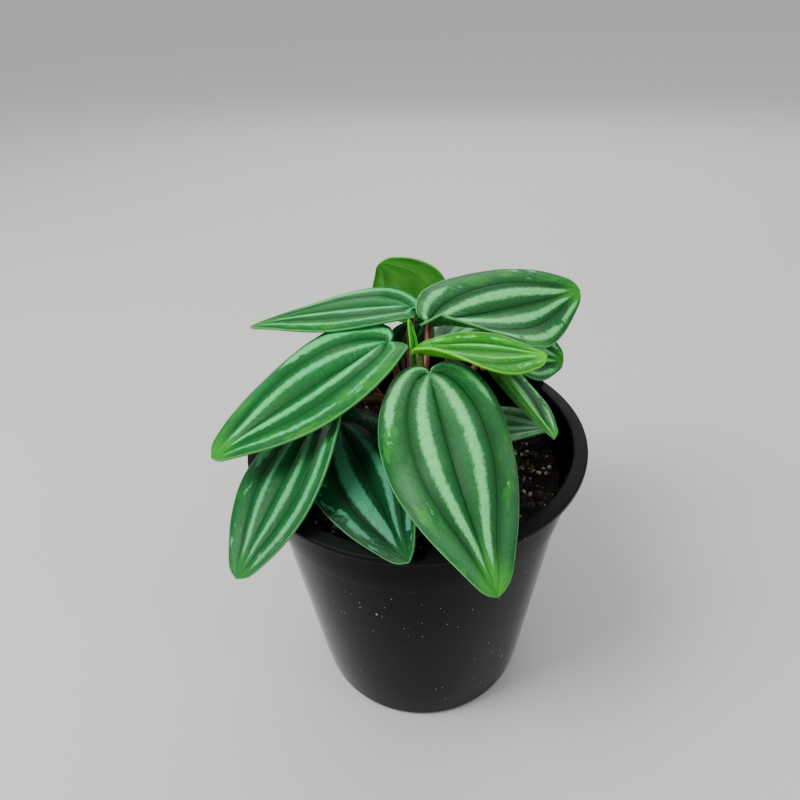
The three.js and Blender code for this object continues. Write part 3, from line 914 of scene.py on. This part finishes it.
def stalk_route(leaf, midrib):
    direction = math.radians(leaf["foot"][0])
    foot = Vector((math.cos(direction), math.sin(direction), 0)) * CROWN_NECK_RADIUS / 2
    foot.z = leaf["foot"][1]
    radius = leaf.get("stalk", STALK_RADIUS)
    joint, _, joint_up = midrib_frame(leaf, midrib, 0)
    lap, _, lap_up = midrib_frame(leaf, midrib, STALK_LAP / length_of(midrib))
    notch = joint - joint_up * STALK_TUCK * radius
    end = lap - lap_up * STALK_TUCK * radius
    rise = (notch - foot).length * leaf.get("rise", STALK_RISE)
    leave = foot.lerp(notch, STALK_BENDS[0]) + Vector((0, 0, rise))
    arrive = foot.lerp(notch, STALK_BENDS[1]) + Vector((0, 0, rise / 2))
    return smooth_route([foot, leave, arrive, notch, end], STALK_STEPS)


print("points along a stalk:", len(stalk_route(LEAVES["leaf_front"], front_midrib)))

# %% [markdown]
# To make a leaf, a grid is bent into the blade, its points at the notch and tip are merged, and a Solidify
# modifier gives it a thickness, with a second material on its underside. Then the stalk is drawn into the
# same mesh, since a leaf and its stalk are one piece. The grid's own UV map stays: it is the ruler that the
# stripes follow later. Two attributes go with it: a number for each leaf, so that no two have the same
# pattern, and how far along the stalk a point lies.

# %% Make a leaf
BLADE_GRID = (96, 64)
BLADE_THICKNESS = 0.62
# A blade has at least this share of the thickness, and gains a whole share over this length in millimetres
THINNEST_SHARE = 0.3
THICKENING_LENGTH = 20
# Leaves shorter than this, in millimetres, have fewer faces
SMALL_LEAF = 15
SMALL_GRID = (28, 24)
STALK_SIDES = 14
FOOT_SWELL = 1.12
STALK_NARROWING = 0.22
NARROWING_RATE = 1.6
LAP_END_SHARE = 0.55
SAME_BLADE_POINT = 0.000002


def blade_sheet(leaf, midrib, seed):
    shape = bmesh.new()
    along, across = SMALL_GRID if length_of(midrib) < SMALL_LEAF else BLADE_GRID
    shape.loops.layers.uv.new("UVMap")
    bmesh.ops.create_grid(shape, x_segments=along, y_segments=across, size=0.5, calc_uvs=True)
    for point in shape.verts:
        u, v = point.co.x + 0.5, point.co.y * -2
        point.co = blade_point(leaf, midrib, seed, u, v) * MM
    bmesh.ops.remove_doubles(shape, verts=shape.verts, dist=SAME_BLADE_POINT)
    smooth_faces(shape)
    return shape


def make_leaf(name, leaf, seed, top, under, stalk_finish):
    midrib = midrib_of(leaf)
    blade = finished_object("blade", blade_sheet(leaf, midrib, seed), top, under, stalk_finish)
    thick = blade.modifiers.new("thickness", "SOLIDIFY")
    full = min(1, length_of(midrib) / THICKENING_LENGTH + THINNEST_SHARE)
    thick.thickness = BLADE_THICKNESS * MM * full
    thick.offset = 0
    thick.material_offset = 1
    thick.material_offset_rim = 1
    apply_modifiers(blade)
    shape = bmesh.new()
    shape.from_mesh(blade.data)
    bpy.data.objects.remove(blade)
    along = shape.verts.layers.float.new("along_stalk")
    own_number = shape.verts.layers.float.new("leaf_number")
    blade_faces = set(shape.faces)
    route = stalk_route(leaf, midrib)
    radius = leaf.get("stalk", STALK_RADIUS)
    count = len(route) - 1
    narrowing = [STALK_NARROWING * min(1, i / count * NARROWING_RATE) for i in range(count + 1)]
    radii = [radius * (FOOT_SWELL - loss) * MM for loss in narrowing]
    radii[-1] *= LAP_END_SHARE
    tube(shape, [point * MM for point in route], radii, STALK_SIDES, along)
    for face in shape.faces:
        if face not in blade_faces:
            face.material_index = 2
            face.smooth = True
    for point in shape.verts:
        point[own_number] = seed
    return finished_object(name, shape, top, under, stalk_finish)


print("faces across and along a blade:", BLADE_GRID)

# %% [markdown]
# The markings are the plant's signature, and all the striped leaves share one node group for them. It reads
# the blade's UV map, where the distance from the midrib is known. A silver stripe lies on each ridge beside
# the midrib for nearly the whole length, and another on the outer ridge, which ends earlier or breaks up.
# Blotches of silver lie near the margin. Noise pushes the edges of the stripes about, and the two halves of
# a blade have stripes of their own widths. This first step finds a point's place on its leaf, and makes the
# silver's mask.

# %% Leaf markings: places and stripes
INNER_STRIPE = 0.29
INNER_REACH = 0.92
OUTER_STRIPE = 0.78
RAGGED_EDGE = 0.15
WANDERING = 0.06
BLOTCH_SHARE = 0.8
MARKING_INPUTS = (
    "Inner right", "Inner left", "Outer right", "Outer left", "Reach right", "Reach left",
    "Breaks", "Blotches",
)


def place_on_leaf(group):
    axes = parts_of(group, outputs_of(group, "UVMap", uv_map="UVMap")["UV"])
    number = outputs_of(group, "Attribute", attribute_name="leaf_number")["Fac"]
    return axes["X"], axes["Y"], number


def joined(group, *axes):
    return outputs_of(group, "CombineXYZ", dict(enumerate(axes)))[0]


def silver_mask(group, u, v, across, place):
    given = group.nodes.new("NodeGroupInput").outputs
    on_left = calc(group, "GREATER_THAN", v, 0.5)
    ragged = noise_of(group, stretched(group, place, (52, 30, 1)), 1, 6, 0.75)
    wander = noise_of(group, stretched(group, place, (4, 3, 1)), 1, 1, 0.5)
    drift = times(group, less(group, wander, 0.5), WANDERING)
    push = calc(group, "MULTIPLY_ADD", less(group, ragged, 0.5), RAGGED_EDGE, drift)
    swelling = calc(group, "MULTIPLY_ADD", u, 0.8, 0.72)

    def own_side(name):
        left = times(group, given[f"{name} left"], on_left)
        right = times(group, given[f"{name} right"], less(group, 1.0, on_left))
        return calc(group, "ADD", left, right)

    def stripe(centre, half, reach):
        away = calc(group, "ABSOLUTE", less(group, across, centre))
        end = soft_step(group, less(group, reach, u), 0.0, 0.08)
        near = less(group, times(group, half, swelling, end), calc(group, "ADD", away, push))
        return times(group, soft_step(group, near, -0.03, 0.04), calc(group, "GREATER_THAN", end, 0.02))

    begun = soft_step(group, u, 0.05, 0.26)
    inner = times(group, stripe(INNER_STRIPE, own_side("Inner"), INNER_REACH), begun)
    gaps = noise_of(group, stretched(group, place, (11, 5, 1), (4, 2, 0)), 1, 3, 0.6)
    kept = soft_step(group, less(group, gaps, given["Breaks"]), -0.02, 0.05)
    outer = times(group, stripe(OUTER_STRIPE, own_side("Outer"), own_side("Reach")), kept)
    blotch_noise = noise_of(group, stretched(group, place, (12, 9, 1), (7, 5, 0)), 1, 4, 0.65)
    outside = times(group, soft_step(group, across, 0.6, 0.7), soft_step(group, across, 0.98, 0.92))
    blotch = soft_step(group, less(group, blotch_noise, given["Blotches"]), 0.0, 0.05)
    spots = times(group, blotch, outside, soft_step(group, u, 0.97, 0.85), BLOTCH_SHARE)
    return calc(group, "MAXIMUM", inner, calc(group, "MAXIMUM", outer, spots))


print("inputs of the markings:", len(MARKING_INPUTS))

# %% [markdown]
# The second step finds the veins. The main ones run along the blade at even spacing, and the ridges between
# them are a wave with its valleys in the veins. The cross veins are the borders of a pattern of cells that
# lean away from the midrib. The group puts out masks and a height, and each finish turns these into its own
# colours.

# %% Leaf markings: veins, and the group
MIDRIB_HALF = 0.014
SIDE_VEIN_HALF = 0.011


def vein_mask(group, u, across):
    veins = []
    for centre, half in ((0.0, MIDRIB_HALF), (VEIN_SPACING, SIDE_VEIN_HALF)):
        away = calc(group, "ABSOLUTE", less(group, across, centre))
        veins.append(soft_step(group, away, half * 2.6, half * 0.3))
    return times(group, calc(group, "MAXIMUM", *veins), calc(group, "MULTIPLY_ADD", u, -0.6, 1.0))


def ridge_wave(group, across):
    wave = calc(group, "SINE", times(group, across, math.pi / VEIN_SPACING))
    return calc(group, "POWER", calc(group, "ABSOLUTE", wave), 1.5)


def cross_vein_distance(group, u, v, across, number):
    lean = times(group, calc(group, "ABSOLUTE", less(group, across, VEIN_SPACING)), 3.0)
    leaning = joined(group, calc(group, "MULTIPLY_ADD", u, 26, lean), times(group, v, 8), number)
    cells = {"Vector": leaning, "Scale": 1}
    return outputs_of(group, "TexVoronoi", cells, feature="DISTANCE_TO_EDGE")["Distance"]


def make_markings_group():
    outputs = ("Silver", "Veins", "Ridges", "Cross veins", "Margin", "Tip", "Base", "Dapple", "Height")
    group = new_group("leaf markings", MARKING_INPUTS, outputs)
    u, v, number = place_on_leaf(group)
    across = calc(group, "ABSOLUTE", calc(group, "MULTIPLY_ADD", v, 2, -1))
    place = joined(group, times(group, u, 1.45), v, times(group, number, 3.7))
    veins = vein_mask(group, u, across)
    edge_distance = cross_vein_distance(group, u, v, across, number)
    pillow = soft_step(group, edge_distance, 0.0, 0.35)
    patches = noise_of(group, stretched(group, place, (10, 9, 1), (2, 8, 0)), 1, 4, 0.65)
    give_out(group, {
        "Silver": silver_mask(group, u, v, across, place),
        "Veins": veins,
        "Ridges": ridge_wave(group, across),
        "Cross veins": soft_step(group, edge_distance, 0.08, 0.0),
        "Margin": soft_step(group, across, 0.968, 0.99),
        "Tip": soft_step(group, u, 0.8, 0.96),
        "Base": soft_step(group, u, 0.62, 0.08),
        "Dapple": times(group, soft_step(group, patches, 0.5, 0.62), soft_step(group, across, 0.5, 0.8)),
        "Height": calc(group, "MULTIPLY_ADD", pillow, 0.25, times(group, veins, -1)),
    })
    return group


markings_group = make_markings_group()


def markings(tree, stripes=()):
    return use_group(tree, markings_group, dict(zip(MARKING_INPUTS, stripes)))


print("group:", markings_group.name)

# %% [markdown]
# A blade's upper finish mixes a leaf green, fresher at the tip and in dapples near the margin, with the
# silver of the stripes and a pale margin line. The green darkens from the crest of each ridge into the sunk
# veins, partly the leaf's own deeper green and partly painted shade in the grooves. Towards the notch a
# painted sheen greys the ridges with fine grain, and patches of the same painted sheen lie on them
# elsewhere. Under the silver lies a layer of air, so the stripes look chalky, and the green between them is
# waxier. A little light passes through a leaf, which subsurface scattering gives. New leaves are lime
# green with thin stripes, leaves that lie in the shade of others get shaded greens, which are painted
# shade, and one low leaf in shade gets paler ones, which are painted light. So one function makes them
# all, from a set of greens and the leaf's own stripe widths.

# %% Blade finishes
# Two sets are shaded copies of the mature greens, painted shade for leaves in the shade of others, and the
# palest set is a lit copy, painted light. The grey-green that each set lays on the ridges near the notch is a
# painted sheen.
GREENS = {
    "bright": dict(
        ridge=(0.01, 0.19, 0.035, 1), deep_and_shaded=(0.003, 0.075, 0.012, 1), fresh=(0.03, 0.3, 0.02, 1),
        silver=(0.08, 0.62, 0.2, 1), edge=(0.12, 0.5, 0.12, 1), painted_sheen=(0.035, 0.25, 0.09, 1)),
    "mature": dict(
        ridge=(0.028, 0.2, 0.052, 1), deep_and_shaded=(0.005, 0.065, 0.013, 1), fresh=(0.05, 0.34, 0.03, 1),
        silver=(0.16, 0.68, 0.23, 1), edge=(0.13, 0.48, 0.17, 1), painted_sheen=(0.09, 0.28, 0.13, 1)),
    "dark": dict(
        ridge=(0.014, 0.15, 0.038, 1), deep_and_shaded=(0.004, 0.075, 0.016, 1), fresh=(0.02, 0.19, 0.03, 1),
        silver=(0.1, 0.48, 0.2, 1), edge=(0.12, 0.38, 0.17, 1), painted_sheen=(0.03, 0.17, 0.07, 1)),
    "darkest": dict(
        ridge=(0.005, 0.068, 0.02, 1), deep_and_shaded=(0.0015, 0.032, 0.009, 1), fresh=(0.008, 0.09, 0.02, 1),
        silver=(0.055, 0.29, 0.155, 1), edge=(0.07, 0.24, 0.12, 1), painted_sheen=(0.012, 0.085, 0.04, 1)),
    "pale": dict(
        ridge=(0.17, 0.5, 0.24, 1), deep_and_shaded=(0.08, 0.32, 0.11, 1), fresh=(0.55, 0.6, 0.35, 1),
        silver=(0.4, 0.75, 0.5, 1), edge=(0.45, 0.58, 0.33, 1), painted_sheen=(0.2, 0.5, 0.26, 1)),
    "young": dict(
        ridge=(0.045, 0.29, 0.03, 1), deep_and_shaded=(0.02, 0.18, 0.012, 1), fresh=(0.08, 0.36, 0.04, 1),
        silver=(0.1, 0.38, 0.08, 1), edge=(0.15, 0.42, 0.06, 1), painted_sheen=(0.06, 0.3, 0.05, 1)),
    "lime": dict(
        ridge=(0.016, 0.32, 0.007, 1), deep_and_shaded=(0.004, 0.12, 0.002, 1), fresh=(0.09, 0.52, 0.01, 1),
        silver=(0.09, 0.74, 0.11, 1), edge=(0.36, 0.9, 0.05, 1), painted_sheen=(0.06, 0.42, 0.03, 1)),
}
UNDERSIDES = {
    "mature": ((0.045, 0.25, 0.06, 1), (0.09, 0.37, 0.11, 1)),
    "fresh": ((0.06, 0.33, 0.05, 1), (0.12, 0.46, 0.1, 1)),
    "young": ((0.06, 0.33, 0.03, 1), (0.1, 0.43, 0.055, 1)),
    "lime": ((0.07, 0.47, 0.008, 1), (0.18, 0.66, 0.03, 1)),
}
LEAF_FLESH = {
    "Specular IOR Level": 0.15,
    "Subsurface Radius": (0.3, 1.0, 0.2),
    "Subsurface Scale": 0.001,
}


def blade_green(tree, look, shown, place, broad, grain):
    # The green darkens from each ridge's crest into the sunk veins: partly the leaf's own deeper green, partly
    # painted shade in the grooves
    ridge_tone_and_shade = times(tree, shown["Ridges"], calc(tree, "MULTIPLY_ADD", broad, 0.9, 0.35))
    green = blend(tree, calc(tree, "MINIMUM", ridge_tone_and_shade, 1.0), look["deep_and_shaded"], look["ridge"])
    speckle = times(tree, soft_step(tree, grain, 0.58, 0.4), 0.4)
    green = blend(tree, speckle, green, look["deep_and_shaded"])
    # Painted sheen: near the notch the ridges are greyed with a fine grain, and in patches elsewhere
    painted_sheen = times(tree, shown["Base"], soft_step(tree, grain, 0.4, 0.6), shown["Ridges"])
    patches = soft_step(tree, noise_of(tree, place, 42, 2), 0.45, 0.62)
    patchy_sheen = times(tree, patches, 0.25, shown["Ridges"])
    green = blend(tree, calc(tree, "MAXIMUM", painted_sheen, patchy_sheen), green, look["painted_sheen"])
    fresher = calc(tree, "MAXIMUM", shown["Tip"], times(tree, shown["Dapple"], 0.6))
    return blend(tree, times(tree, fresher, 0.85), green, look["fresh"])


def silver_share(tree, shown, place, grain):
    uncut = less(tree, 1.0, times(tree, shown["Cross veins"], 0.1))
    grained = calc(tree, "MULTIPLY_ADD", grain, 0.5, 0.3)
    mottled = calc(tree, "MULTIPLY_ADD", noise_of(tree, place, 420, 3, 0.7), 1.3, 1.0)
    return calc(tree, "MINIMUM", times(tree, shown["Silver"], uncut, grained, mottled), 1.0)


def make_blade_finish(name, look, stripes):
    material, tree, shader = new_finish(f"{name} upper side")
    shown = markings(tree, stripes)
    place = object_place(tree)
    broad = noise_of(tree, place, 95, 3, 0.6)
    grain = noise_of(tree, place, 1700, 3, 0.75)
    green = blade_green(tree, look, shown, place, broad, grain)
    colour = blend(tree, silver_share(tree, shown, place, grain), green, look["silver"])
    # The sunk veins take the same green: partly their own colour, partly painted shade
    colour = blend(tree, times(tree, shown["Veins"], 0.55), colour, look["deep_and_shaded"])
    waxy = calc(tree, "MULTIPLY_ADD", broad, 0.14, 0.36)
    relief = calc(tree, "MULTIPLY_ADD", grain, 0.16, shown["Height"])
    feed(tree, shader, LEAF_FLESH | {
        "Base Color": blend(tree, times(tree, shown["Margin"], 0.7), colour, look["edge"]),
        "Roughness": calc(tree, "MULTIPLY_ADD", shown["Silver"], 0.1, waxy),
        "Normal": bump(tree, relief, 0.00035, 0.75),
        "Subsurface Weight": 0.12,
    })
    return material


def make_underside_finish(name, shade, light):
    material, tree, shader = new_finish(f"{name} underside")
    shown = markings(tree)
    broad = noise_of(tree, object_place(tree), 130, 3, 0.6)
    colour = blend(tree, soft_step(tree, broad, 0.3, 0.7), shade, light)
    colour = blend(tree, times(tree, shown["Veins"], 0.4), colour, shade)
    feed(tree, shader, LEAF_FLESH | {
        "Base Color": blend(tree, times(tree, shown["Margin"], 0.6), colour, light),
        "Roughness": 0.45,
        "Normal": bump(tree, times(tree, shown["Height"], -1.0), 0.0003, 0.6),
        "Subsurface Weight": 0.15,
    })
    return material


undersides = {name: make_underside_finish(name, *colours) for name, colours in UNDERSIDES.items()}
print("undersides:", len(undersides))

# %% [markdown]
# The stalks are reddish brown and smooth, with fine darker streaks along them, and go green where they meet
# the blade. A new leaf's stalk is green nearly all the way.

# %% Stalk finishes
STREAK_BROWN = (0.05, 0.018, 0.012, 1)


def make_stalk_finish(name, foot_colour, end_colour, turn_start):
    material, tree, shader = new_finish(name)
    along = outputs_of(tree, "Attribute", attribute_name="along_stalk")["Fac"]
    place = object_place(tree)
    streaks = noise_of(tree, stretched(tree, place, (1, 1, 0.2)), 1300, 3, 0.6)
    patches = noise_of(tree, place, 260, 3, 0.6)
    share = soft_step(tree, calc(tree, "MULTIPLY_ADD", patches, 0.3, along), turn_start, 1.2)
    colour = blend(tree, share, foot_colour, end_colour)
    darker = blend(tree, soft_step(tree, streaks, 0.45, 0.7), colour, STREAK_BROWN)
    feed(tree, shader, {
        "Base Color": blend(tree, 0.45, colour, darker),
        "Roughness": 0.38,
        "Normal": bump(tree, streaks, 0.0002, 0.5),
        "Subsurface Weight": 0.1,
        "Subsurface Scale": 0.001,
    })
    return material


red_stalk = make_stalk_finish("red-brown stalk", (0.2, 0.05, 0.028, 1), (0.24, 0.2, 0.07, 1), 0.75)
green_stalk = make_stalk_finish("green stalk", (0.2, 0.17, 0.05, 1), (0.2, 0.42, 0.06, 1), 0.2)
print("stalk finishes:", red_stalk.name, "and", green_stalk.name)

# %% [markdown]
# The stripes of each leaf, as it shows them: the half-widths of the inner and outer ones, right and left,
# how far the outer ones reach, and two thresholds. A higher first one breaks the outer stripes up more, and
# a higher second one leaves fewer blotches near the margin. A stripe with a width below nothing doesn't
# show.

# %% Stripes of each leaf
STRIPES = {
    "leaf_left": (0.055, 0.06, 0.1, 0.02, 0.62, 0.92, 0.34, 0.64),
    "leaf_front": (0.062, 0.064, 0.075, 0.06, 0.52, 0.46, 0.28, 0.66),
    "leaf_left_low": (0.045, 0.05, 0.1, 0.045, 0.6, 0.9, 0.42, 0.6),
    "leaf_front_low": (0.11, 0.055, 0.06, 0.06, 0.8, 0.93, 0.5, 0.6),
    "leaf_back_left": (-0.08, 0.055, 0.08, 0.03, 0.8, 0.9, 0.3, 0.62),
    "leaf_back_right": (0.062, 0.075, 0.06, 0.08, 0.93, 0.42, 0.36, 0.62),
    "leaf_right_behind": (0.07, 0.08, 0.06, 0.06, 0.9, 0.9, 0.4, 0.6),
    "leaf_right_folded": (0.05, 0.06, 0.04, 0.05, 0.9, 0.9, 0.4, 0.58),
    "leaf_right_low": (0.11, 0.1, 0.05, 0.05, 0.9, 0.9, 0.4, 0.6),
    "leaf_new": (0.025, 0.055, 0.02, 0.05, 0.95, 0.95, 0.55, 0.62),
}
USUAL_STRIPES = (0.055, 0.055, 0.045, 0.045, 0.8, 0.8, 0.42, 0.6)

# %% [markdown]
# Each leaf now gets its finishes, is made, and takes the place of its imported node. Its number seeds its
# relief and its pattern.

# %% Place every leaf
for number, (node, leaf) in enumerate(LEAVES.items(), start=1):
    finish = leaf["finish"]
    upper = make_blade_finish(node, GREENS[finish], STRIPES.get(node, USUAL_STRIPES))
    under = undersides[leaf.get("under", finish if finish in undersides else "mature")]
    stalk_finish = green_stalk if finish in ("lime", "young") else red_stalk
    made = make_leaf(f"{node}_blade", leaf, number, upper, under, stalk_finish)
    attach(made, "root")
    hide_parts(node)
    print(node, "faces:", len(made.data.polygons))

# %% [markdown]
# The crown is the short, knobbly stem that all the stalks leave. Little of it shows, but from above it must
# look grown and not turned, so noise and a spiral of swellings, the scars of old leaves, move the points of
# a spun profile.

# %% Crown
CROWN_PROFILE = [
    (0, 68.2), (3.2, 68.2), (5.3, 71), (5.3, 81), (4.2, 84), (4.2, 90), (3.1, 93), (1.6, 95.8), (0, 96),
]
CROWN_STEPS = 56
CROWN_RINGS = 5
SCARS = 5
SCAR_HEIGHT = 0.25
CROWN_SPIRAL = 2.4
CROWN_ROUGHNESS = 0.3


def crown_profile():
    profile = []
    for (r0, h0), (r1, h1) in zip(CROWN_PROFILE, CROWN_PROFILE[1:]):
        shares = [i / CROWN_RINGS for i in range(CROWN_RINGS)]
        profile += [(mix(r0, r1, share), mix(h0, h1, share)) for share in shares]
    return [*profile, CROWN_PROFILE[-1]]


def make_crown(material):
    shape = spun(crown_profile(), CROWN_STEPS)
    for point in shape.verts:
        place = point.co / MM
        turn = math.atan2(place.y, place.x)
        swelling = SCAR_HEIGHT * max(0, math.sin(SCARS * turn / 2 + place.z * CROWN_SPIRAL))
        bark_noise = CROWN_ROUGHNESS * noise.noise(place * 0.8)
        away = Vector((place.x, place.y, 0))
        outward = bark_noise + swelling - SCAR_HEIGHT
        point.co += away.normalized() * outward * min(1, away.length / 2) * MM
    return finished_object("crown_stem", shape, material)


crown_bark = make_stalk_finish("crown bark", (0.16, 0.07, 0.035, 1), (0.2, 0.12, 0.05, 1), 0.6)
crown = make_crown(crown_bark)
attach(crown, "root")
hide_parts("crown")
print("crown faces:", len(crown.data.polygons))
